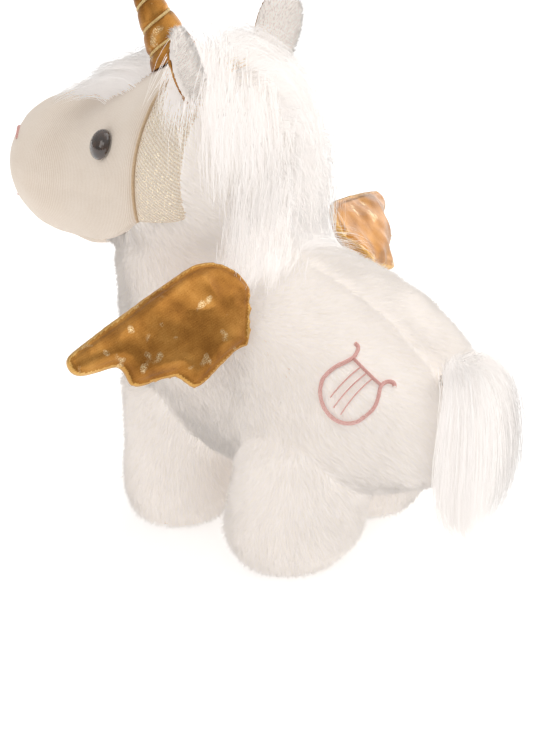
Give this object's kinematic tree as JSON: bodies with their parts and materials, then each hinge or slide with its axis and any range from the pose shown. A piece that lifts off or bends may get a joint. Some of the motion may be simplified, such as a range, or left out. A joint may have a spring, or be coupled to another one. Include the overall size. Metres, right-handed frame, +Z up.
{
  "type": "plush unicorn",
  "caption": "Standing stuffed winged unicorn in white plush, with padded metallic wings, a soft spiral horn, a long-haired mane and tail, and an embroidered lyre on its haunch.",
  "frame": {"origin": "on the floor, under the middle of the toy's box", "axes": "+Z up, -Y the way the toy faces, +X to the toy's left"},
  "size_m": [0.2412, 0.2625, 0.256],
  "materials": {
    "fur": "short dense plush pile",
    "stuffing": "loose polyester fibre",
    "sole_felt": "flat felt",
    "velour": "fine ribbed velour",
    "sparkle_knit": "knit with metallic yarn",
    "tan_thread": "stitched thread",
    "pink_thread": "satin stitch",
    "gold_thread": "metallic thread",
    "gold_lame": "metallic woven fabric",
    "tab_cloth": "folded fur backing",
    "hair": "long silky fibre",
    "eye_plastic": "glossy",
    "washer_plastic": "plain"
  },
  "bodies": {
    "torso": {"body_panel_left": "fur", "body_panel_right": "fur", "belly_panel": "fur", "body_stuffing": "stuffing", "leg_front_left": "fur", "leg_front_right": "fur", "leg_hind_left": "fur", "leg_hind_right": "fur", "leg_stuffing_front_left": "stuffing", "leg_stuffing_front_right": "stuffing", "leg_stuffing_hind_left": "stuffing", "leg_stuffing_hind_right": "stuffing", "sole_front_left": "sole_felt", "sole_front_right": "sole_felt", "sole_hind_left": "sole_felt", "sole_hind_right": "sole_felt", "head_panel_left": "fur", "head_panel_right": "fur", "face_panel_left": "sparkle_knit", "face_panel_right": "sparkle_knit", "muzzle_left": "velour", "muzzle_right": "velour", "muzzle_seam": "tan_thread", "head_stuffing": "stuffing", "muzzle_stuffing": "stuffing", "nostril_left": "pink_thread", "nostril_right": "pink_thread", "mouth_stitch": "pink_thread", "eye_left": "eye_plastic", "eye_right": "eye_plastic", "eye_washer_left": "washer_plastic", "eye_washer_right": "washer_plastic", "horn_cover": "gold_lame", "horn_stuffing": "stuffing", "horn_thread": "gold_thread", "mane": "hair", "forelock": "hair", "lyre_embroidery": "pink_thread"},
    "wing_left": {"wing_front_left": "gold_lame", "wing_back_left": "gold_lame", "wing_padding_left": "stuffing"},
    "wing_right": {"wing_front_right": "gold_lame", "wing_back_right": "gold_lame", "wing_padding_right": "stuffing"},
    "ear_left": {"ear_outer_left": "fur", "ear_lining_left": "gold_lame"},
    "ear_right": {"ear_outer_right": "fur", "ear_lining_right": "gold_lame"},
    "tail_base": {"tail_tab": "tab_cloth"},
    "tail": {"tail_hair": "hair"}
  },
  "joints": [
    {"name": "wing_left_root", "type": "hinge", "parent": "torso", "child": "wing_left", "pos_m": [0.04329, 0.02639, 0.11995], "axis": [-0.5498, -0.2999, 0.7796], "range_deg": [-25, 50], "stiffness_Nm_per_rad": 0.06},
    {"name": "wing_right_root", "type": "hinge", "parent": "torso", "child": "wing_right", "pos_m": [-0.04329, 0.02639, 0.11995], "axis": [-0.5498, 0.2999, -0.7796], "range_deg": [-25, 50], "stiffness_Nm_per_rad": 0.06},
    {"name": "ear_left_fold", "type": "hinge", "parent": "torso", "child": "ear_left", "pos_m": [0.02807, -0.01542, 0.20835], "axis": [0.8211, 0.4067, -0.4005], "range_deg": [-30, 30], "stiffness_Nm_per_rad": 0.01},
    {"name": "ear_right_fold", "type": "hinge", "parent": "torso", "child": "ear_right", "pos_m": [-0.02807, -0.01542, 0.20835], "axis": [0.8211, -0.4067, 0.4005], "range_deg": [-30, 30], "stiffness_Nm_per_rad": 0.01},
    {"name": "tail_sway", "type": "hinge", "parent": "torso", "child": "tail_base", "pos_m": [0, 0.09852, 0.09237], "axis": [0, 0.875, 0.4841], "range_deg": [-35, 35]},
    {"name": "tail_lift", "type": "hinge", "parent": "tail_base", "child": "tail", "pos_m": [0, 0.10517, 0.09605], "axis": [1, 0, 0], "range_deg": [0, 80]}
  ]
}
